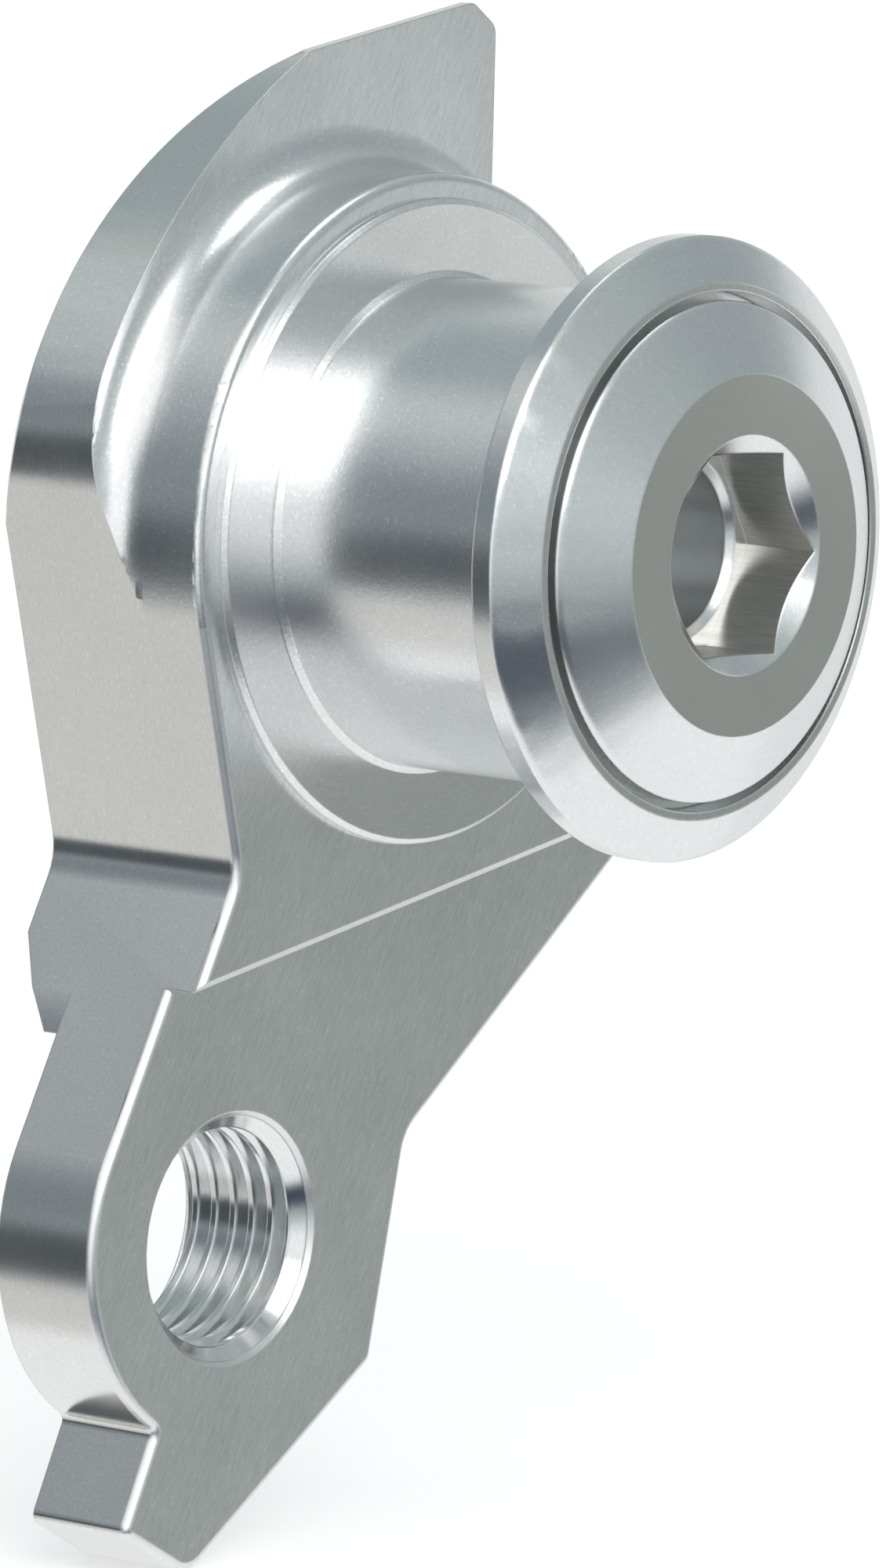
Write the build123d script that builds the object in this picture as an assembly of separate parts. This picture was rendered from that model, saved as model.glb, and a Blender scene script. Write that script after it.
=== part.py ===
from build123d import *
from math import cos, radians, sin, tan
import os

# A bicycle derailleur hanger with its fixing bolt and washer, in millimetres.
# X points forward along the bicycle, Y inboard and Z up. The origin is on the wheel axle's
# axis, in the plane of the ring that seats on the frame.

# Round the axle
axle_thread_diameter = 12.0
axle_thread_start = -2.4
barrel_diameter = 19.9
barrel_length = 11.9
barrel_root_chamfer = 0.25
seat_ring_diameter = 26.2
seat_ring_height = 0.5
small_chamfer = 0.2
boss_radius = 14.1

# Body of the hanger, as depths from the outboard side to the inboard side
plate_step = 1.5
plate_thickness = 5.0
body_thickness = 9.8
edge_radius = 0.4
step_chamfer = 0.33

# Rear wall: it leans forward below the boss, then backwards at the bend
wall_lean = 11.9
lower_wall_lean = 30.0
bend_radius = 2.5

# Threaded hole that takes the derailleur, and the lobe round it
derailleur_thread_diameter = 10.0
hole_x = -10.49
hole_z = -28.18
hole_chamfer = 0.2
lobe_radius = 8.5

# Nose below the lobe, which stops the derailleur
nose_root = (-13.4, -32.2)
nose_heel = (-17.1, -39.25)
nose_heel_radius = 0.45
nose_tip = (-13.2, -41.6)
nose_tip_radius = 1.5
nose_root_radius = 0.4

# Front edge, from the foot up to the boss
foot_corner = (-1.7, -34.6)
foot_corner_radius = 0.6
front_hollow = (0.65, -25.5)
front_hollow_radius = 2.0
front_corner = (16.0, -14.6)
front_corner_radius = 2.0
front_lean = 6.0

# Step between the raised pad and the plate, a line that rises forwards
step_slope = 7.85
step_drop = 15.57

# Thick block on the inboard side: its lower edge, the bevel above it and its cut rear end
block_drop = 17.7
bevel_drop = 14.3
bevel_depth = 2.3
block_heel = (-14.5, -18.15)
block_heel_lean = 17.0

# Stop flange behind and above the boss
flange_front = 5.3
flange_hollow_radius = 1.8
fin_thickness = 0.5
rim_centre = (10.8, -7.15)
rim_radius = 28.8
rim_lower_radius = 7.5
rim_upper_radius = 1.0
rim_top_left = (-1.5, 18.9)
rim_top_right = (8.9, 20.2)
rim_bevel_end = (10.36, 19.1)
rim_front_x = 9.6
rim_corner_radius = 0.7
flange_back = [(14.55, 0.0), (15.85, 1.24), (17.25, 2.43)]
flange_back_radius = 18.9

# Washer
washer_diameter = 25.0
washer_rim = 1.3
washer_height = 2.3
washer_web = 1.0
washer_top_diameter = 21.45
washer_edge_chamfer = 0.2

# Bolt
head_diameter = 20.0
head_wall = 1.6
head_cone_height = 1.4
head_face_diameter = 14.4
head_gap = 0.37
socket_width = 8.0
socket_depth = 3.5
socket_mouth_diameter = 9.6
socket_mouth_depth = 0.6
socket_turn = -3.9
bolt_bore_diameter = 7.0
bolt_bore_chamfer = 0.3
bolt_thread_diameter = 14.35
bolt_thread_length = 8.0
bolt_end_chamfer = 0.6
bolt_bore_runout = 0.6
thread_play = 0.05
washer_play = 0.25

# Depths along the axle that follow from the sizes
pad_face = seat_ring_height
plate_face = pad_face + plate_step
plate_back = plate_face + plate_thickness
body_back = pad_face + body_thickness
barrel_end = -barrel_length
bolt_seat = barrel_end - washer_web
head_face = bolt_seat - head_wall - head_cone_height
bolt_end = barrel_end + bolt_thread_length
far = 60.0
beyond = 1.0


def slab(outline, start, end):
    """A slab with the given X-Z outline between two depths."""
    return Pos(0, start, 0) * extrude(Plane.XZ * outline, amount=end - start, dir=(0, 1, 0))


def turned(profile):
    """A body turned about the axle, from a profile of radius and depth."""
    return revolve(profile, axis=Axis.Y)


def below_line(drop):
    """The X-Z area under the rising line that crosses the Z axis at the given drop."""
    return Pos(0, -drop) * Rot(0, 0, step_slope) * Pos(0, -far / 2) * Rectangle(2 * far, far)


def body_outline():
    """X-Z outline of the whole body without the stop flange."""
    lean = radians(wall_lean)
    lower = radians(lower_wall_lean)
    wall_top = (-boss_radius * cos(lean), -boss_radius * sin(lean))
    lobe_touch = (hole_x - lobe_radius * cos(lower), hole_z + lobe_radius * sin(lower))
    # The two straight stretches of the rear wall cross at the bend.
    across = lobe_touch[0] - wall_top[0]
    rise = lobe_touch[1] - wall_top[1]
    run = (across - rise * tan(lower)) / (tan(lean) + tan(lower))
    bend = (wall_top[0] + run * tan(lean), wall_top[1] - run)
    front = radians(front_lean)
    front_top = (boss_radius * cos(front), boss_radius * sin(front))
    corners = [
        (0, 0),
        wall_top,
        bend,
        lobe_touch,
        (hole_x, hole_z),
        nose_root,
        nose_heel,
        nose_tip,
        foot_corner,
        front_hollow,
        front_corner,
        front_top,
    ]
    rounded = {
        bend: bend_radius,
        nose_heel: nose_heel_radius,
        nose_tip: nose_tip_radius,
        foot_corner: foot_corner_radius,
        front_hollow: front_hollow_radius,
        front_corner: front_corner_radius,
    }
    arm = Polygon(*corners, align=None)
    for corner, radius in rounded.items():
        arm = fillet(arm.vertices().sort_by_distance((*corner, 0))[0], radius)
    outline = arm + Circle(boss_radius) + Pos(hole_x, hole_z) * Circle(lobe_radius)
    root = outline.vertices().sort_by_distance((*nose_root, 0))[0]
    return fillet(root, nose_root_radius)


def rim_outline():
    """X-Z outline of the stop flange, seen along the axle."""
    lean = radians(wall_lean)
    start = (-boss_radius * cos(lean), -boss_radius * sin(lean))
    # The leaning wall is followed upwards until it has left the rim's disc.
    rise = rim_top_left[1] - start[1]
    wall_end = (start[0] - rise * tan(lean), rim_top_left[1])
    corners = [start, wall_end, rim_top_left, rim_top_right, rim_bevel_end, (rim_front_x, 0), (0, 0)]
    face = Polygon(*corners, align=None) & Pos(*rim_centre) * Circle(rim_radius)
    face = fillet(face.vertices().sort_by(Axis.X)[0], rim_lower_radius)
    rounded = {
        rim_top_left: rim_upper_radius,
        rim_top_right: rim_corner_radius,
        rim_bevel_end: rim_corner_radius,
    }
    for corner, radius in rounded.items():
        face = fillet(face.vertices().sort_by_distance((*corner, 0))[0], radius)
    return face


def stop_flange():
    """The flange: a rim cut from a disc with a hollow front and a rounded, tapered back."""
    hollow_start = flange_front - flange_hollow_radius
    hollow_end = boss_radius + flange_hollow_radius
    fin_back = flange_front + fin_thickness
    back = [(radius, body_back - drop) for radius, drop in flange_back]
    back.append((flange_back_radius, fin_back))
    front = Line((0, hollow_start), (boss_radius, hollow_start))
    front += RadiusArc((boss_radius, hollow_start), (hollow_end, flange_front), flange_hollow_radius)
    front += Line((hollow_end, flange_front), (far, flange_front))
    rear = Line((far, flange_front), (far, fin_back)) + Line((far, fin_back), back[3])
    rear += ThreePointArc(back[3], back[2], back[1])
    rear += Polyline(back[1], back[0], (0, body_back), (0, hollow_start))
    disc = turned(make_face(front + rear))
    return disc & slab(rim_outline(), hollow_start, body_back)


def face_edges(solid, depth):
    """The edges of a solid that lie in the plane of the given depth."""
    return solid.edges().filter_by(
        lambda edge: all(abs(edge.position_at(place).Y - depth) < 0.001 for place in (0, 0.3, 0.7, 1))
    )


def on_step(edge):
    """Whether an edge lies along the step line."""
    middle = edge.position_at(0.5)
    return abs(middle.Z + step_drop - tan(radians(step_slope)) * middle.X) < 0.05


def along_step(depth, drop, section):
    """A bar that runs along the step line, with a section of (inboard, upward) corners."""
    slope = radians(step_slope)
    plane = Plane((0, depth, -drop), x_dir=(0, 1, 0), z_dir=(cos(slope), 0, sin(slope)))
    return extrude(plane * Polygon(*section, align=None), amount=far, both=True)


def hanger_body():
    """The body: a raised pad, the plate with the threaded hole and a thick inboard block."""
    outline = body_outline()
    pad = slab(outline - below_line(step_drop), pad_face, plate_back)
    pad = fillet(face_edges(pad, pad_face).filter_by(on_step, reverse=True), edge_radius)
    bevel = step_chamfer
    section = [(0, bevel), (bevel, 0), (bevel, -beyond), (-beyond, -beyond), (-beyond, bevel)]
    pad -= along_step(pad_face, step_drop, section)
    plate = slab(outline, plate_face, plate_back)
    plate = fillet(face_edges(plate, plate_face), edge_radius)
    behind_block = Pos(*block_heel) * Rot(0, 0, -block_heel_lean) * Pos(-far / 2, 0)
    heel = behind_block * Rectangle(far, 2 * far) & below_line(bevel_drop)
    block = slab(outline - below_line(block_drop) - heel, plate_back, body_back)
    fall = block_drop - bevel_drop
    section = [(0, 0), (-bevel_depth, -fall), (-bevel_depth, -fall - beyond)]
    section += [(beyond, -fall - beyond), (beyond, 0)]
    return pad + plate + block - along_step(body_back, bevel_drop, section)


def axle_barrel():
    """The seat ring and the barrel that passes through the frame, before boring."""
    ring = seat_ring_diameter / 2
    barrel = barrel_diameter / 2
    return turned(
        make_face(
            Polyline(
                (0, pad_face),
                (ring, pad_face),
                (ring, small_chamfer),
                (ring - small_chamfer, 0),
                (barrel + barrel_root_chamfer, 0),
                (barrel, -barrel_root_chamfer),
                (barrel, barrel_end + small_chamfer),
                (barrel - small_chamfer, barrel_end),
                (0, barrel_end),
                (0, pad_face),
            )
        )
    )


def axle_bore():
    """The bore for the bolt's thread and, inboard of it, the one for the axle's thread."""
    bolt_radius = bolt_thread_diameter / 2 + thread_play
    axle_radius = axle_thread_diameter / 2
    bolt_bore_end = bolt_end + bolt_bore_runout
    return turned(
        make_face(
            Polyline(
                (0, barrel_end),
                (bolt_radius + edge_radius, barrel_end),
                (bolt_radius, barrel_end + edge_radius),
                (bolt_radius, bolt_bore_end),
                (axle_radius, axle_thread_start),
                (axle_radius, body_back - edge_radius),
                (axle_radius + edge_radius, body_back),
                (0, body_back),
                (0, barrel_end),
            )
        )
    )


def derailleur_bore():
    """The bore of the derailleur's thread, with a chamfer at each mouth."""
    radius = derailleur_thread_diameter / 2
    bore = Cylinder(radius, plate_thickness, rotation=(90, 0, 0))
    mouth = Cone(radius, radius + hole_chamfer, hole_chamfer, rotation=(90, 0, 0))
    edge = (plate_thickness - hole_chamfer) / 2
    bore += Pos(0, -edge, 0) * mouth
    bore += Pos(0, edge, 0) * mirror(mouth, about=Plane.XZ)
    return Pos(hole_x, (plate_face + plate_back) / 2, hole_z) * bore


def hanger():
    """The whole hanger, one forging turned and milled."""
    return hanger_body() + stop_flange() + axle_barrel() - axle_bore() - derailleur_bore()


def washer():
    """The stepped washer that carries the bolt's head in a recess."""
    rim = washer_diameter / 2
    recess = head_diameter / 2 + head_gap
    top = washer_top_diameter / 2
    bore = bolt_thread_diameter / 2 + washer_play
    return turned(
        make_face(
            Polyline(
                (bore, barrel_end),
                (rim - small_chamfer, barrel_end),
                (rim, barrel_end - small_chamfer),
                (rim, barrel_end - washer_rim + washer_edge_chamfer),
                (rim - washer_edge_chamfer, barrel_end - washer_rim),
                (top, barrel_end - washer_height),
                (recess, barrel_end - washer_height),
                (recess, bolt_seat),
                (bore, bolt_seat),
                (bore, barrel_end),
            )
        )
    )


def bolt():
    """The hollow bolt: a low conical head with a hexagon socket and a threaded shank."""
    head = head_diameter / 2
    face = head_face_diameter / 2
    thread = bolt_thread_diameter / 2
    bore = bolt_bore_diameter / 2
    mouth = socket_mouth_diameter / 2
    floor = head_face + socket_depth
    solid = turned(
        make_face(
            Polyline(
                (bore, floor),
                (bore, bolt_end),
                (thread - bolt_end_chamfer, bolt_end),
                (thread, bolt_end - bolt_end_chamfer),
                (thread, bolt_seat),
                (head, bolt_seat),
                (head, bolt_seat - head_wall + small_chamfer),
                (head - small_chamfer, bolt_seat - head_wall),
                (face, head_face),
                (0, head_face),
                (0, floor),
                (bore, floor),
            )
        )
    )
    hexagon = RegularPolygon(socket_width / 2, 6, major_radius=False, rotation=socket_turn)
    solid -= slab(hexagon, head_face, floor)
    solid -= turned(
        make_face(
            Polyline(
                (0, head_face),
                (mouth, head_face),
                (socket_width / 2, head_face + socket_mouth_depth),
                (0, head_face + socket_mouth_depth),
                (0, head_face),
            )
        )
    )
    inner = solid.edges().filter_by(GeomType.CIRCLE).sort_by_distance((0, floor, 0))[0]
    return chamfer(inner, bolt_bore_chamfer)


os.makedirs("parts", exist_ok=True)
pieces = {"hanger": hanger(), "washer": washer(), "bolt": bolt()}
for name, piece in pieces.items():
    export_step(piece, f"parts/{name}.step")
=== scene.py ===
"""Looks of a bicycle derailleur hanger with its bolt and washer, laid out as a Blender add-on.

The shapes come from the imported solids. Sizes in the settings are in metres, as Blender keeps them.
"""

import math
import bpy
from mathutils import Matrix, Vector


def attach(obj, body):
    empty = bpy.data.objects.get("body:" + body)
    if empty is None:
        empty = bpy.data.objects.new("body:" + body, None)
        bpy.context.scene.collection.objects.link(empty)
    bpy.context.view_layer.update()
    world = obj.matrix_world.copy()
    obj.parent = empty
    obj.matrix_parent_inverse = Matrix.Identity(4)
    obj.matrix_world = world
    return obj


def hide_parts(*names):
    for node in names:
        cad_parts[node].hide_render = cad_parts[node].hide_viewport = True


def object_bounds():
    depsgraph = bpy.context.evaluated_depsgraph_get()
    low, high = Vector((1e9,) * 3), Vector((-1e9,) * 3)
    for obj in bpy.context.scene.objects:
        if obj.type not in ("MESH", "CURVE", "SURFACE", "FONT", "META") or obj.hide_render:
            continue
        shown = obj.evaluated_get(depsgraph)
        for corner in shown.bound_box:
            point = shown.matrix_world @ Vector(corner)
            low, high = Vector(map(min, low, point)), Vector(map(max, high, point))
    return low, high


bl_info = {
    "name": "Derailleur hanger looks",
    "version": (1, 0, 0),
    "blender": (4, 5, 0),
    "location": "View3D > Sidebar > Hanger",
    "description": "Dresses a milled and turned aluminium derailleur hanger with its bolt and washer",
    "category": "Object",
}

import bmesh
import bpy
from bpy.props import FloatProperty, FloatVectorProperty, IntProperty, PointerProperty
from mathutils import Matrix, Vector

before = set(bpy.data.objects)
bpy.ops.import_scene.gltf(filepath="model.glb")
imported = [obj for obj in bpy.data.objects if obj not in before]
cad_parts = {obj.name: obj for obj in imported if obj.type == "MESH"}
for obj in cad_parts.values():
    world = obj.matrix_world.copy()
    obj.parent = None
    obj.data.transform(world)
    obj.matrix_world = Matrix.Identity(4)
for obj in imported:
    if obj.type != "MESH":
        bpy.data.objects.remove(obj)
solid_box = [list(corner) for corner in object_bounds()]

MM = 0.001
AXLE = Vector((0, 1, 0))
# Points closer than this are one point.
SAME_POINT = 0.0005 * MM
# Edges that turn more than this stay sharp.
SHARP_ANGLE = math.radians(22)
# A face whose normal has more than this along the axle lies flat across it.
FLAT = 0.98


def linear(hex_colour):
    """An sRGB hex colour as linear red, green, blue and alpha."""
    text = hex_colour.lstrip("#")
    channels = [int(text[i : i + 2], 16) / 255 for i in (0, 2, 4)]
    return [c / 12.92 if c <= 0.04045 else ((c + 0.055) / 1.055) ** 2.4 for c in channels] + [1.0]


# Settings, one group for each operator or kind of piece
class StageSettings(bpy.types.PropertyGroup):
    """Floor, light and camera."""

    azimuth: FloatProperty(
        name="Azimuth", description="Camera angle round the object",
        default=math.radians(-50.573), subtype="ANGLE",
    )
    elevation: FloatProperty(
        name="Elevation", description="Camera angle above the floor",
        default=math.radians(8.892), subtype="ANGLE",
    )
    distance: FloatProperty(
        name="Distance", description="Camera to the axle's axis", default=0.44391, unit="LENGTH",
    )
    aside: FloatProperty(
        name="Aside", description="Camera moved to the right in its own view",
        default=0.0003044, unit="LENGTH",
    )
    above: FloatProperty(
        name="Above", description="Camera moved up in its own view",
        default=-0.010584, unit="LENGTH",
    )
    lens: FloatProperty(
        name="Lens", description="Focal length for a sensor 36 mm high", default=252.0, min=1.0,
    )
    floor_colour: FloatVectorProperty(
        name="Floor", description="Colour of the floor",
        default=linear("#F2F2F1")[:3], size=3, subtype="COLOR",
    )
    world_level: FloatProperty(
        name="World level", description="Soft light from all round", default=0.75, min=0.0,
    )


class HangerSettings(bpy.types.PropertyGroup):
    """Finish of the milled and turned hanger."""

    milled_colour: FloatVectorProperty(
        name="Milled faces", description="Colour of the milled outboard faces",
        default=linear("#E4E6E6")[:3], size=3, subtype="COLOR",
    )
    wall_colour: FloatVectorProperty(
        name="Walls", description="Colour of the walls cut across the plate",
        default=linear("#E6E6E4")[:3], size=3, subtype="COLOR",
    )
    turned_colour: FloatVectorProperty(
        name="Turned faces", description="Colour of the turned and blasted faces",
        default=linear("#E9EAEA")[:3], size=3, subtype="COLOR",
    )
    turned_radius: FloatProperty(
        name="Turned radius", description="Radius about the axle that the turned faces reach",
        default=0.0189, unit="LENGTH",
    )
    seat_radius: FloatProperty(
        name="Seat radius", description="Radius of the ring that seats on the frame",
        default=0.0132, unit="LENGTH",
    )
    boss_radius: FloatProperty(
        name="Boss radius", description="Radius of the boss round the axle",
        default=0.0141, unit="LENGTH",
    )
    wall_lean: FloatProperty(
        name="Wall lean", description="How far the rear wall leans forward",
        default=math.radians(11.9), subtype="ANGLE",
    )
    brush_angle: FloatProperty(
        name="Brush angle", description="Slope of the brush strokes on the flat faces",
        default=math.radians(62), subtype="ANGLE",
    )
    sharp_angle: FloatProperty(
        name="Sharp angle", description="Edges that turn more than this stay sharp",
        default=SHARP_ANGLE, subtype="ANGLE",
    )


class ThreadSettings(bpy.types.PropertyGroup):
    """Ridges of the two inside threads."""

    derailleur_pitch: FloatProperty(
        name="Derailleur pitch", description="Pitch of the thread for the derailleur",
        default=0.001, unit="LENGTH",
    )
    axle_pitch: FloatProperty(
        name="Axle pitch", description="Pitch of the thread for the wheel axle",
        default=0.001, unit="LENGTH",
    )
    steps: IntProperty(
        name="Steps", description="Steps in one turn of a ridge", default=96, min=12,
    )


class PieceSettings(bpy.types.PropertyGroup):
    """Finish of the washer and the bolt."""

    washer_colour: FloatVectorProperty(
        name="Washer", description="Colour of the washer",
        default=linear("#E9EAEA")[:3], size=3, subtype="COLOR",
    )
    bolt_colour: FloatVectorProperty(
        name="Bolt", description="Colour of the bolt",
        default=linear("#E9EAEA")[:3], size=3, subtype="COLOR",
    )
    # The socket's colour is darker than the bolt's: painted shade inside the recess.
    socket_shaded_colour: FloatVectorProperty(
        name="Socket", description="Colour of the broached socket",
        default=linear("#D2D1CC")[:3], size=3, subtype="COLOR",
    )
    face_colour: FloatVectorProperty(
        name="Head face", description="Colour of the flat ring round the socket",
        default=linear("#E2E3E1")[:3], size=3, subtype="COLOR",
    )


# Materials

# The sparkle is drawn coarser than the real one, so that it shows at this size.
SPECK_SIZE = 0.13 * MM
# Clouds are larger areas that are a little duller or brighter, by this share of the roughness.
CLOUD_SIZE = 5 * MM
CLOUD_CHANGE = 0.1
# Most of a noise's values lie in the first range. Only its peaks reach the second, and glint.
NOISE_RANGE = (0.3, 0.7)
GLINT_RANGE = (0.6, 0.75)
BEVEL_SAMPLES = 6


def node(tree, kind, links=None, **settings):
    """Adds a node, sets its sockets and properties by name, and links its inputs."""
    made = tree.nodes.new(kind)
    for name, value in settings.items():
        socket = made.inputs.get(name.replace("_", " "))
        if socket is None and hasattr(made, name):
            setattr(made, name, value)
        else:
            socket.default_value = value
    for name, source in (links or {}).items():
        tree.links.new(source, made.inputs[name])
    return made


def maths(tree, operation, *values, **settings):
    """The result of a math node, fed with sockets or constants in the order of its inputs."""
    made = node(tree, "ShaderNodeMath", operation=operation, **settings)
    for socket, value in zip(made.inputs, values):
        if isinstance(value, bpy.types.NodeSocket):
            tree.links.new(value, socket)
        else:
            socket.default_value = value
    return made.outputs["Value"]


def remapped(tree, value, low, high, to_low, to_high, **settings):
    """A value taken from one range to another, and kept inside it."""
    made = node(
        tree, "ShaderNodeMapRange", {"Value": value},
        From_Min=low, From_Max=high, To_Min=to_low, To_Max=to_high, **settings,
    )
    return made.outputs["Result"]


def seen_by(tree, *kinds):
    """1 for rays of the given kinds, else 0."""
    rays = node(tree, "ShaderNodeLightPath")
    seen = rays.outputs[kinds[0]]
    for kind in kinds[1:]:
        seen = maths(tree, "MAXIMUM", seen, rays.outputs[kind])
    return seen


def new_material(name):
    """A node material with only its output."""
    material = bpy.data.materials.new(name)
    material.use_nodes = True
    tree = material.node_tree
    tree.nodes.clear()
    return material, tree, tree.nodes.new("ShaderNodeOutputMaterial")


def aluminium(
    name, colour, roughness, stroke, turn=0.0, lines=0.05, speck=0.1, relief=0.001, edge=0.09,
):
    """Bare aluminium, which mirrors the room softly through its tool marks.

    stroke is the size of a tool mark in mm along X, Y and Z, once it is turned about Y. lines and
    speck are how far marks and specks change the brightness, and relief is their depth in mm. The
    edges are broken to a radius of edge in mm, and catch a fine bright line.
    """
    material, tree, output = new_material(name)
    place = node(tree, "ShaderNodeTexCoord").outputs["Object"]
    marks_at = node(
        tree, "ShaderNodeMapping", {"Vector": place}, vector_type="TEXTURE",
        Rotation=(0, turn, 0), Scale=[size * MM for size in stroke],
    )
    links = {"Vector": marks_at.outputs["Vector"]}
    marks = node(tree, "ShaderNodeTexNoise", links, Scale=1.0, Detail=2.0)
    links = {"Vector": place}
    specks = node(tree, "ShaderNodeTexNoise", links, Scale=1 / SPECK_SIZE, Detail=1.0)
    clouds = node(tree, "ShaderNodeTexNoise", links, Scale=1 / CLOUD_SIZE, Detail=2.0)
    shade = remapped(tree, marks.outputs["Fac"], *NOISE_RANGE, 1 - lines, 1 + lines)
    glint = remapped(tree, specks.outputs["Fac"], *GLINT_RANGE, 0, speck)
    tint = node(
        tree, "ShaderNodeVectorMath", {"Scale": maths(tree, "ADD", shade, glint)},
        operation="SCALE", Vector=colour,
    )
    rough = remapped(
        tree, clouds.outputs["Fac"], *NOISE_RANGE,
        roughness * (1 - CLOUD_CHANGE), roughness * (1 + CLOUD_CHANGE),
    )
    heights = maths(tree, "ADD", marks.outputs["Fac"], specks.outputs["Fac"])
    broken_edge = node(tree, "ShaderNodeBevel", samples=BEVEL_SAMPLES, Radius=edge * MM)
    links = {"Height": heights, "Normal": broken_edge.outputs["Normal"]}
    bump = node(tree, "ShaderNodeBump", links, Strength=1.0, Distance=relief * MM)
    links = {
        "Base Color": tint.outputs["Vector"],
        "Roughness": rough,
        "Normal": bump.outputs["Normal"],
    }
    shader = node(tree, "ShaderNodeBsdfPrincipled", links, Metallic=1.0)
    tree.links.new(shader.outputs["BSDF"], output.inputs["Surface"])
    return material


# Meshes

# A triangle lower than this is a sliver.
SLIVER_HEIGHT = 0.03 * MM
# Faces that turn less than this against each other become one flat face.
FLAT_ANGLE = math.radians(0.5)
# How strongly large faces keep their normals, where 50 is neutral.
FLAT_FIRST = 80


def new_object(name, tool, materials):
    """Turns a bmesh into an object in the scene."""
    mesh = bpy.data.meshes.new(name)
    tool.to_mesh(mesh)
    tool.free()
    for material in materials:
        mesh.materials.append(material)
    made = bpy.data.objects.new(name, mesh)
    bpy.context.scene.collection.objects.link(made)
    return made


def finish_piece(tool, name, materials, replaced=()):
    """Turns a bmesh into a piece on the root body."""
    piece = new_object(name, tool, materials)
    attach(piece, "root")
    if replaced:
        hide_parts(*replaced)
    return piece


def is_sliver(face):
    """Whether a triangle is so thin that its normal says nothing."""
    longest = max(edge.calc_length() for edge in face.edges)
    return 2 * face.calc_area() < SLIVER_HEIGHT * longest


def merged_copy(name, sharp_angle):
    """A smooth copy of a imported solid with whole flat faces, and with its sharp edges kept."""
    solid = bmesh.new()
    solid.from_mesh(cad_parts[name].data)
    bmesh.ops.remove_doubles(solid, verts=solid.verts, dist=SAME_POINT)
    bmesh.ops.dissolve_limit(
        solid, angle_limit=FLAT_ANGLE, verts=solid.verts, edges=solid.edges,
    )
    slivers = {face for face in solid.faces if is_sliver(face)}
    for face in solid.faces:
        face.smooth = True
    for edge in solid.edges:
        touches_sliver = not slivers.isdisjoint(edge.link_faces)
        edge.smooth = touches_sliver or edge.calc_face_angle(0) < sharp_angle
    return solid


def even_normals(piece):
    """Lets large flat faces keep their normals at soft edges."""
    weigh = piece.modifiers.new("flat faces first", "WEIGHTED_NORMAL")
    weigh.mode = "FACE_AREA"
    weigh.keep_sharp = True
    # Faces whose areas differ by less than a square millimetre count as the same size.
    weigh.thresh = MM * MM
    weigh.weight = FLAT_FIRST


# The hanger's finishes, in the order of its material slots
BRUSHED, WALL, TURNED, ROUNDED = range(4)
# A turned face's normal has less than this along the way round the axle.
ROUND_LIMIT = 0.1
# The rear wall's faces look along its normal at least this much, and lie this close to its plane.
WALL_ALIGNED = 0.995
WALL_REACH = 0.02 * MM
# The seat ring ends at this depth. The rounded edges of the outboard faces end at the second, and
# look outboard at least this much.
SEAT_DEPTH = 0.3 * MM
ROUNDED_DEPTH = 2.5 * MM
ROUNDED_NORMAL = -0.1


def hanger_finish(face, look, wall_normal):
    """The finish of one face of the hanger, told by where it lies and which way it looks."""
    centre = face.calc_center_median()
    radius = math.hypot(centre.x, centre.z)
    way_round = Vector((centre.z, 0, -centre.x)) / radius
    round_axle = abs(face.normal.dot(way_round)) < ROUND_LIMIT
    on_plane = abs(centre.dot(wall_normal) - look.boss_radius) < WALL_REACH
    if face.normal.dot(wall_normal) > WALL_ALIGNED and on_plane:
        return WALL
    if round_axle and radius < look.seat_radius and centre.y < SEAT_DEPTH:
        return TURNED
    if abs(face.normal.y) > FLAT:
        return BRUSHED
    if round_axle and radius < look.turned_radius:
        return TURNED
    if face.normal.y < ROUNDED_NORMAL and centre.y < ROUNDED_DEPTH:
        return ROUNDED
    return WALL


class HANGER_OT_body(bpy.types.Operator):
    """The hanger with its milled, cut and turned finishes"""

    bl_idname = "object.hanger_body"
    bl_label = "Hanger"

    def execute(self, context):
        look = context.scene.hanger_look
        finishes = [
            # Brushed aslant: an even grey sheen with fine slanting strokes. The strokes are drawn
            # coarser than the real ones, so that they show at this size.
            aluminium(
                "milled_aluminium_flat_brushed", look.milled_colour, 0.34,
                stroke=(0.7, 0.3, 0.07), turn=-look.brush_angle,
                lines=0.08, speck=0.12, relief=0.0009,
            ),
            # Cut by a mill's side: broad mirrored bands of light and dark, with faint lines along Z.
            aluminium(
                "milled_aluminium_cut_wall", look.wall_colour, 0.2,
                stroke=(0.07, 0.07, 0.6), lines=0.05, speck=0.12, relief=0.0008,
            ),
            # Turned, then tumbled: reflections with soft ends that glitter in fine grains.
            aluminium(
                "turned_aluminium_tumbled", look.turned_colour, 0.25,
                stroke=(0.25, 0.25, 0.25), lines=0.03, speck=0.18, relief=0.0022,
            ),
            # Rounded by tumbling: duller, so that an edge shows as a wide soft highlight.
            aluminium(
                "tumbled_aluminium_rounded_edge", look.turned_colour, 0.32,
                stroke=(0.25, 0.25, 0.25), lines=0.02, speck=0.1, relief=0.001,
            ),
        ]
        lean = look.wall_lean
        wall_normal = Vector((-math.cos(lean), 0, -math.sin(lean)))
        solid = merged_copy("hanger", look.sharp_angle)
        for face in solid.faces:
            face.material_index = hanger_finish(face, look, wall_normal)
        even_normals(finish_piece(solid, "hanger_body", finishes, ["hanger"]))
        return {"FINISHED"}


# The derailleur's thread: its centre line, where the hole begins and ends along the axle's axis,
# and the radii of the ridge's root and crest.
HOLE_CENTRE = Vector((-10.49, 0, -28.18)) * MM
HOLE_FRONT, HOLE_BACK = 2.0 * MM, 8.9 * MM
HOLE_ROOT, HOLE_CREST = 5.02 * MM, 4.46 * MM
# The cone-shaped mouths begin this far inside the hole. Behind its crest each one falls back to
# the root over the second length.
MOUTH_DEPTH = 0.2 * MM
MOUTH_LIP = 0.15 * MM
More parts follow.
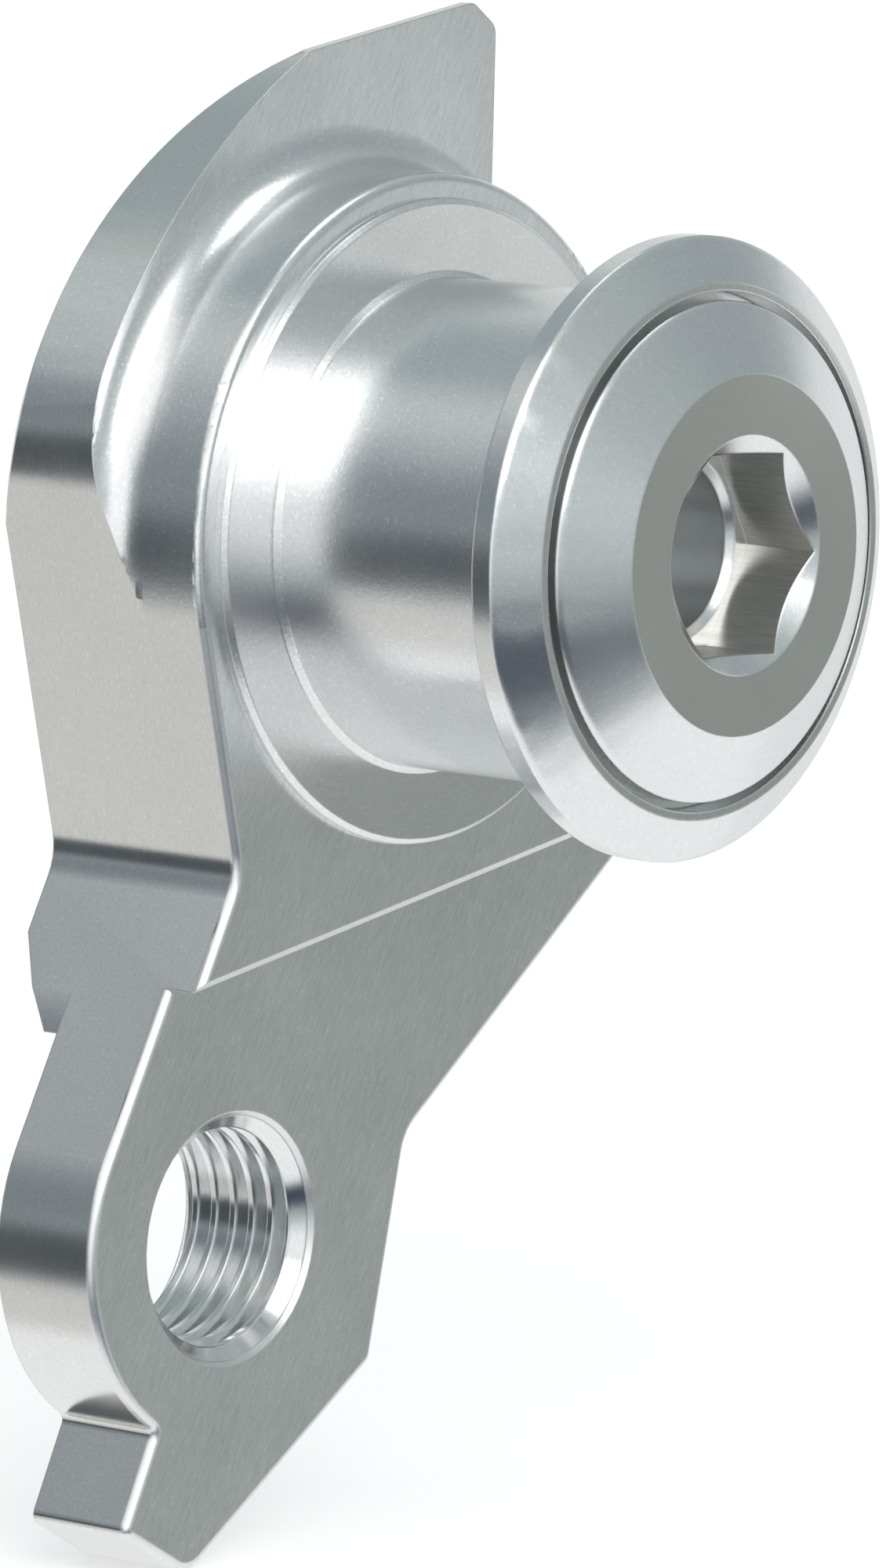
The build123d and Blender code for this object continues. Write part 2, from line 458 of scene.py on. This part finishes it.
# The collar's section round the hole: radius and depth in mm.
COLLAR_SECTION = [
    (5.0, 6.9), (7.9, 6.9), (7.9, 7.02), (6.0, 8.7), (5.8, 8.9), (5.2, 8.9), (5.0, 8.7),
]
# The axle's thread in the same way.
AXLE_CENTRE = Vector((0, 0, 0))
AXLE_FRONT, AXLE_BACK = -2.2 * MM, 9.9 * MM
AXLE_ROOT, AXLE_CREST = 6.02 * MM, 5.46 * MM
# Half the width of a ridge at its root and at its crest, as shares of the pitch.
ROOT_HALF = 0.44
CREST_HALF = 0.14
THREAD_SHARP_ANGLE = math.radians(25)


def spun(tool, corners, centre, steps):
    """A closed ring with the given section of radius and depth, spun about a line along Y."""
    verts = [tool.verts.new(centre + Vector((radius, depth, 0))) for radius, depth in corners]
    edges = [tool.edges.new(pair) for pair in zip(verts, verts[1:] + verts[:1])]
    bmesh.ops.spin(
        tool, geom=verts + edges, cent=centre, axis=AXLE, angle=2 * math.pi, steps=steps,
        use_merge=True, use_duplicate=False,
    )


def thread_ridge(tool, centre, root, crest, pitch, start, end, steps):
    """An inside thread's ridge, a wedge spun along a helix and cut off level at both ends."""
    half = pitch * ROOT_HALF
    flat = pitch * CREST_HALF
    corners = [(root, -half), (crest, -flat), (crest, flat), (root, half)]
    # One turn too many at either end, for the cuts.
    turns = math.ceil((end - start) / pitch) + 2
    first = start - pitch
    verts = [tool.verts.new(centre + Vector((radius, first + along, 0))) for radius, along in corners]
    face = tool.faces.new(verts)
    bmesh.ops.spin(
        tool, geom=[face, *face.edges, *verts], cent=centre, axis=AXLE, dvec=AXLE * (pitch / steps),
        angle=2 * math.pi * turns, steps=steps * turns, use_duplicate=False,
    )
    for depth, side in ((start, -1), (end, 1)):
        cut = bmesh.ops.bisect_plane(
            tool, geom=tool.verts[:] + tool.edges[:] + tool.faces[:], dist=1e-8,
            plane_co=Vector((0, depth, 0)), plane_no=AXLE * side, clear_outer=True,
        )
        edges = [item for item in cut["geom_cut"] if isinstance(item, bmesh.types.BMEdge)]
        bmesh.ops.holes_fill(tool, edges=edges)


def finished_thread(name, material, tool):
    """Closes and smooths a thread's mesh, and adds it to the root body as a piece of the hanger."""
    bmesh.ops.remove_doubles(tool, verts=tool.verts, dist=SAME_POINT)
    bmesh.ops.recalc_face_normals(tool, faces=tool.faces)
    for face in tool.faces:
        face.smooth = True
    for edge in tool.edges:
        inside = len(edge.link_faces) == 2
        edge.smooth = inside and edge.calc_face_angle(0) < THREAD_SHARP_ANGLE
    finish_piece(tool, name, [material])


class HANGER_OT_threads(bpy.types.Operator):
    """The ridges of the threads for the derailleur and the wheel axle"""

    bl_idname = "object.hanger_threads"
    bl_label = "Threads"

    def execute(self, context):
        look = context.scene.hanger_threads
        colour = context.scene.hanger_look.turned_colour
        # Fresh from the tap: each flank mirrors a narrow bright line beside a dark one.
        tapped = aluminium(
            "tapped_aluminium_thread", colour, 0.13,
            stroke=(0.4, 0.06, 0.4), lines=0.04, speck=0.05, relief=0.0006,
        )
        # Milled smooth: the cone shows one clear highlight.
        milled = aluminium(
            "milled_aluminium_collar", colour, 0.2, stroke=(0.3, 0.3, 0.3), lines=0.03,
        )

        tool = bmesh.new()
        lead = HOLE_ROOT - HOLE_CREST
        front_mouth = HOLE_FRONT + MOUTH_DEPTH
        back_mouth = HOLE_BACK - MOUTH_DEPTH
        thread_ridge(
            tool, HOLE_CENTRE, HOLE_ROOT, HOLE_CREST, look.derailleur_pitch,
            front_mouth + lead, back_mouth - lead, look.steps,
        )
        # The thread runs into a cone-shaped mouth at either end.
        for depth, inward in ((front_mouth, 1), (back_mouth, -1)):
            section = [
                (HOLE_ROOT, depth),
                (HOLE_CREST, depth + inward * lead),
                (HOLE_ROOT, depth + inward * (lead + MOUTH_LIP)),
            ]
            spun(tool, section, HOLE_CENTRE, look.steps)
        finished_thread("derailleur_thread", tapped, tool)

        # Inboard of the plate the thread goes on through a low cone-shaped collar.
        tool = bmesh.new()
        section = [(radius * MM, depth * MM) for radius, depth in COLLAR_SECTION]
        spun(tool, section, HOLE_CENTRE, look.steps)
        finished_thread("derailleur_thread_collar", milled, tool)

        tool = bmesh.new()
        thread_ridge(
            tool, AXLE_CENTRE, AXLE_ROOT, AXLE_CREST, look.axle_pitch,
            AXLE_FRONT, AXLE_BACK, look.steps,
        )
        finished_thread("axle_thread", tapped, tool)
        return {"FINISHED"}


class HANGER_OT_washer(bpy.types.Operator):
    """The stepped washer under the bolt's head"""

    bl_idname = "object.hanger_washer"
    bl_label = "Washer"

    def execute(self, context):
        look = context.scene.hanger_pieces
        # Turned to a satin shine: clear bands of light, and a bright line along each broken edge.
        finish = aluminium(
            "turned_aluminium_washer", look.washer_colour, 0.2,
            stroke=(0.3, 0.3, 0.3), lines=0.02, speck=0.12, edge=0.15,
        )
        solid = merged_copy("washer", SHARP_ANGLE)
        even_normals(finish_piece(solid, "washer_ring", [finish], ["washer"]))
        return {"FINISHED"}


# The bolt's finishes, in the order of its material slots. The socket's finish is darkened as painted
# shade.
SMOOTH, FACED, BROACHED_SHADED = range(3)
# The flat ring on the bolt's head lies outboard of this. All of these are in metres.
HEAD_FACE = -0.0155
# The socket's flats lie inside this radius and between these depths.
SOCKET_RADIUS = 0.0048
SOCKET_FRONT, SOCKET_BACK = -0.0157, -0.0123
# A face of the socket whose normal has more than this along the axle is not one of its flats.
SOCKET_NORMAL = 0.2


def bolt_finish(face):
    """The finish of one face of the bolt, told by where it lies and which way it looks."""
    centre = face.calc_center_median()
    if face.normal.y < -FLAT and centre.y < HEAD_FACE:
        return FACED
    inside = math.hypot(centre.x, centre.z) < SOCKET_RADIUS
    if inside and SOCKET_FRONT < centre.y < SOCKET_BACK and abs(face.normal.y) < SOCKET_NORMAL:
        return BROACHED_SHADED
    return SMOOTH


class HANGER_OT_bolt(bpy.types.Operator):
    """The hollow bolt with its hexagon socket"""

    bl_idname = "object.hanger_bolt"
    bl_label = "Bolt"

    def execute(self, context):
        look = context.scene.hanger_pieces
        finishes = [
            # Turned smooth: a wide highlight that fades round the cone, and soft bright edges.
            aluminium(
                "turned_aluminium_bolt", look.bolt_colour, 0.22,
                stroke=(0.3, 0.3, 0.3), lines=0.02, speck=0.1, edge=0.18,
            ),
            # Faced flat: one even grey ring, almost without sparkle.
            aluminium(
                "faced_aluminium_head", look.face_colour, 0.26,
                stroke=(0.3, 0.3, 0.3), lines=0.015, speck=0.01, relief=0.0003, edge=0.05,
            ),
            # Broached: dull warm flats with drag lines along the axle, drawn coarser than real. Their
            # colour is darker than the bolt's, as painted shade inside the recess.
            aluminium(
                "broached_aluminium_socket_painted_shade", look.socket_shaded_colour, 0.42,
                stroke=(0.09, 2.0, 0.09), lines=0.1, speck=0.02, relief=0.002, edge=0.05,
            ),
        ]
        solid = merged_copy("bolt", SHARP_ANGLE)
        for face in solid.faces:
            face.material_index = bolt_finish(face)
        even_normals(finish_piece(solid, "bolt_body", finishes, ["bolt"]))
        return {"FINISHED"}


# Stage

# The tent is a sphere, open below this elevation, with one grey where no patch lies.
TENT_RADIUS = 3.0
TENT_FOOT = math.radians(-60)
TENT_GREY = "#A2AAAB"
TENT_GLOW = 1.18
# Patches of the tent: azimuth and elevation of the middle, half width, half height and softness of
# the rim as a share of them, then the grey that the metal sees there. Angles are in degrees.
TENT_PATCHES = [
    ("low_walls", 0, -45, 180, 25, 0.25, "#EAECED"),
    ("dim_low_behind", 136, -30, 26, 9, 0.4, "#CACAC7"),
    ("ceiling_behind", 92, 56, 34, 18, 0.5, "#929DA2"),
    ("lit_wall_behind", 120, 44, 14, 9, 0.6, "#BAC0BE"),
    ("wall_behind", 136, 20, 40, 16, 0.5, "#767F85"),
    ("dark_wall_behind", 142, -8, 45, 11, 0.4, "#4B5055"),
    ("cream_wall_aside", 102, -6, 14, 15, 0.5, "#E9E6DA"),
    ("bright_side", 28, -9, 46, 30, 0.35, "#DADDDE"),
    ("bright_side_behind", 47, 26, 16, 18, 0.6, "#C8CCCB"),
    ("grey_front", -43, -9, 32, 14, 0.5, "#8B908D"),
    ("dim_ceiling_front", -30, 26, 26, 14, 0.6, "#939B9E"),
    ("lit_camera_side", -104, 10, 20, 14, 0.6, "#BDC4C6"),
    ("dim_camera_side", -92, -30, 26, 11, 0.4, "#7B8286"),
    ("dark_camera_side", -110, -25, 24, 10, 0.4, "#4A515A"),
    ("dark_rear_side", -154, -31, 40, 10, 0.4, "#3B4350"),
    ("bright_rear", -151, 6, 27, 20, 0.4, "#FAFBFC"),
    ("bright_strip_above", -157, 40, 62, 22, 0.4, "#FFFFFF"),
]
# A patch with this half width in degrees goes all round, and its width in radians is then as good
# as endless.
ALL_ROUND = 180
ENDLESS = 1e6
# The mix node's sockets for colours, which share their names with those for numbers.
COLOUR_A, COLOUR_B, COLOUR_RESULT = 6, 7, 2
# Lamps: name, place and side in metres, and power in watts.
SOFT_BOXES = [
    ("front_box", (-0.22, -0.36, 0.26), 0.3, 0.55),
    ("top_box", (0.2, -0.1, 0.9), 0.5, 1.0),
]
LAMP_AIM = (0, 0, -0.01)
# The floor's radius in metres, its glow near the object and far from it, and the distances in
# metres where the glow's change begins and ends.
FLOOR_RADIUS = 6.0
FLOOR_GLOW = (0.37, 0.6)
FLOOR_GLOW_AT = (0.15, 1.2)


def tent_material():
    """The inside of the tent, a soft pattern of paper panels by their direction from the object."""
    # Paper that glows: the metal mirrors it as soft light and dark panels.
    material, tree, output = new_material("studio_tent_paper")
    place = node(tree, "ShaderNodeTexCoord")
    links = {"Vector": place.outputs["Object"]}
    way = node(tree, "ShaderNodeVectorMath", links, operation="NORMALIZE")
    axes = node(tree, "ShaderNodeSeparateXYZ", {"Vector": way.outputs["Vector"]})
    azimuth = maths(tree, "ARCTAN2", axes.outputs["Y"], axes.outputs["X"])
    elevation = maths(tree, "ARCSINE", axes.outputs["Z"])
    base = node(tree, "ShaderNodeRGB")
    base.outputs[0].default_value = linear(TENT_GREY)
    colour = base.outputs[0]
    for label, centre, height, half_width, half_height, softness, grey in TENT_PATCHES:
        aside = maths(tree, "SUBTRACT", azimuth, math.radians(centre), label=label)
        aside = maths(tree, "WRAP", aside, math.pi, -math.pi)
        sides = ENDLESS if half_width >= ALL_ROUND else math.radians(half_width)
        wide = maths(tree, "DIVIDE", aside, sides)
        above = maths(tree, "SUBTRACT", elevation, math.radians(height))
        tall = maths(tree, "DIVIDE", above, math.radians(half_height))
        both = node(tree, "ShaderNodeCombineXYZ", {"X": wide, "Y": tall})
        reach = node(tree, "ShaderNodeVectorMath", {"Vector": both.outputs[0]}, operation="LENGTH")
        inside = remapped(
            tree, reach.outputs["Value"], 1 + softness, 1 - softness, 0, 1,
            interpolation_type="SMOOTHSTEP",
        )
        paint = node(tree, "ShaderNodeMix", data_type="RGBA")
        tree.links.new(inside, paint.inputs["Factor"])
        tree.links.new(colour, paint.inputs[COLOUR_A])
        paint.inputs[COLOUR_B].default_value = linear(grey)
        colour = paint.outputs[COLOUR_RESULT]
    glow = node(tree, "ShaderNodeEmission", {"Color": colour}, Strength=TENT_GLOW)
    tree.links.new(glow.outputs["Emission"], output.inputs["Surface"])
    return material


def studio_tent():
    """The paper tent round the object, seen by the metal and not by the camera."""
    tool = bmesh.new()
    bmesh.ops.create_uvsphere(tool, u_segments=48, v_segments=24, radius=TENT_RADIUS)
    bmesh.ops.bisect_plane(
        tool, geom=tool.verts[:] + tool.edges[:] + tool.faces[:], dist=1e-6,
        plane_co=(0, 0, TENT_RADIUS * math.sin(TENT_FOOT)), plane_no=(0, 0, -1), clear_outer=True,
    )
    tent = new_object("studio_tent", tool, [tent_material()])
    tent.visible_camera = False


def near_card(name, place, half, colour, aim):
    """A small square card close to the object, that lights up one face and hides from the camera."""
    material, tree, output = new_material(name)
    glow = node(tree, "ShaderNodeEmission", Color=linear(colour), Strength=1.0)
    tree.links.new(glow.outputs["Emission"], output.inputs["Surface"])
    tool = bmesh.new()
    turn = (aim - place).to_track_quat("Z", "Y").to_matrix().to_4x4()
    stand = Matrix.Translation(place) @ turn
    bmesh.ops.create_grid(tool, x_segments=1, y_segments=1, size=half, matrix=stand)
    card = new_object(name, tool, [material])
    card.visible_camera = card.visible_diffuse = card.visible_shadow = False


def soft_box(name, place, side, power):
    """A square area lamp aimed at the object."""
    light = bpy.data.lights.new(name, "AREA")
    light.shape = "RECTANGLE"
    light.size = light.size_y = side
    light.energy = power
    lamp = bpy.data.objects.new(name, light)
    bpy.context.scene.collection.objects.link(lamp)
    lamp.location = place
    lamp.visible_camera = False
    lamp.rotation_euler = (Vector(LAMP_AIM) - Vector(place)).to_track_quat("-Z", "Y").to_euler()


def floor_material(floor_colour):
    """White paper that fades into the background and keeps a faint shadow at the object's foot."""
    material, tree, output = new_material("white_paper_floor")
    diffuse = node(tree, "ShaderNodeBsdfDiffuse", Color=[*floor_colour, 1])
    # The lamps light the floor less far from the object, and its glow makes up for that.
    place = node(tree, "ShaderNodeTexCoord")
    away = node(tree, "ShaderNodeVectorMath", {0: place.outputs["Object"]}, operation="LENGTH")
    level = remapped(tree, away.outputs["Value"], *FLOOR_GLOW_AT, *FLOOR_GLOW)
    glow = node(tree, "ShaderNodeEmission", {"Strength": level}, Color=linear("#FFFFFF"))
    both = node(tree, "ShaderNodeAddShader", {0: diffuse.outputs[0], 1: glow.outputs[0]})
    seen = seen_by(tree, "Is Camera Ray", "Is Glossy Ray")
    links = {"Fac": seen, 1: diffuse.outputs[0], 2: both.outputs[0]}
    pick = node(tree, "ShaderNodeMixShader", links)
    tree.links.new(pick.outputs[0], output.inputs["Surface"])
    return material


def studio_floor(floor_colour):
    """The floor that the object stands on."""
    tool = bmesh.new()
    bmesh.ops.create_circle(tool, cap_ends=True, segments=64, radius=FLOOR_RADIUS)
    bmesh.ops.translate(tool, verts=tool.verts, vec=(0, 0, solid_box[0][2]))
    floor = new_object("floor", tool, [floor_material(floor_colour)])
    floor.visible_glossy = False


def studio_world(level_of_light):
    """A white room: white to the eye and in reflections, and a set level as a source of light."""
    world = bpy.data.worlds.new("studio")
    bpy.context.scene.world = world
    world.use_nodes = True
    tree = world.node_tree
    tree.nodes.clear()
    seen = seen_by(tree, "Is Camera Ray", "Is Glossy Ray", "Is Transmission Ray")
    level = remapped(tree, seen, 0, 1, level_of_light, 1)
    sky = node(tree, "ShaderNodeBackground", {"Strength": level}, Color=linear("#FFFFFF"))
    node(tree, "ShaderNodeOutputWorld", {"Surface": sky.outputs["Background"]})


def studio_camera(look):
    """The camera, turned round the axle's axis and then moved in its own view."""
    a, e = look.azimuth, look.elevation
    back = Vector((math.sin(a) * math.cos(e), -math.cos(a) * math.cos(e), math.sin(e)))
    right = Vector((math.cos(a), math.sin(a), 0))
    up = back.cross(right)
    lens = bpy.data.cameras.new("camera")
    lens.sensor_fit = "VERTICAL"
    lens.sensor_height = 36.0
    lens.lens = look.lens
    lens.clip_start, lens.clip_end = 0.01, 50.0
    camera = bpy.data.objects.new("camera", lens)
    bpy.context.scene.collection.objects.link(camera)
    place = look.aside * right + look.above * up + look.distance * back
    turn = Matrix((right, up, back)).transposed().to_4x4()
    camera.matrix_world = Matrix.Translation(place) @ turn
    bpy.context.scene.camera = camera


class HANGER_OT_stage(bpy.types.Operator):
    """The floor, the soft light and the camera"""

    bl_idname = "object.hanger_stage"
    bl_label = "Stage"

    def execute(self, context):
        look = context.scene.hanger_stage
        studio_floor(look.floor_colour)
        studio_world(look.world_level)
        studio_tent()
        # The card lights the outboard face of the flange's fin.
        near_card(
            "fin_card", place=Vector((46, -33, 9)) * MM, half=9 * MM, colour="#E6E9E9",
            aim=Vector((0, 5, 17)) * MM,
        )
        for name, place, side, power in SOFT_BOXES:
            soft_box(name, place, side, power)
        studio_camera(look)
        context.scene.view_settings.view_transform = "Standard"
        # Light goes to and fro between the walls of the washer's narrow recess.
        context.scene.cycles.glossy_bounces = 12
        return {"FINISHED"}


class HANGER_PT_panel(bpy.types.Panel):
    """Lists the pieces and their settings"""

    bl_label = "Derailleur hanger"
    bl_idname = "HANGER_PT_panel"
    bl_space_type = "VIEW_3D"
    bl_region_type = "UI"
    bl_category = "Hanger"

    def draw(self, context):
        for group in SETTINGS:
            for name in SETTINGS[group].__annotations__:
                self.layout.prop(getattr(context.scene, group), name)
        for operator in OPERATORS:
            self.layout.operator(operator.bl_idname)


SETTINGS = {
    "hanger_stage": StageSettings,
    "hanger_look": HangerSettings,
    "hanger_threads": ThreadSettings,
    "hanger_pieces": PieceSettings,
}
OPERATORS = [HANGER_OT_body, HANGER_OT_threads, HANGER_OT_washer, HANGER_OT_bolt, HANGER_OT_stage]


def register():
    """Registers the settings, the operators and the panel."""
    for group, settings in SETTINGS.items():
        bpy.utils.register_class(settings)
        setattr(bpy.types.Scene, group, PointerProperty(type=settings))
    for operator in OPERATORS:
        bpy.utils.register_class(operator)
    bpy.utils.register_class(HANGER_PT_panel)


def unregister():
    """Takes them out again."""
    bpy.utils.unregister_class(HANGER_PT_panel)
    for operator in reversed(OPERATORS):
        bpy.utils.unregister_class(operator)
    for group, settings in SETTINGS.items():
        delattr(bpy.types.Scene, group)
        bpy.utils.unregister_class(settings)


def main():
    """Makes every piece and the stage."""
    register()
    bpy.ops.object.hanger_body()
    bpy.ops.object.hanger_threads()
    bpy.ops.object.hanger_washer()
    bpy.ops.object.hanger_bolt()
    bpy.ops.object.hanger_stage()


if __name__ == "__main__":
    main()
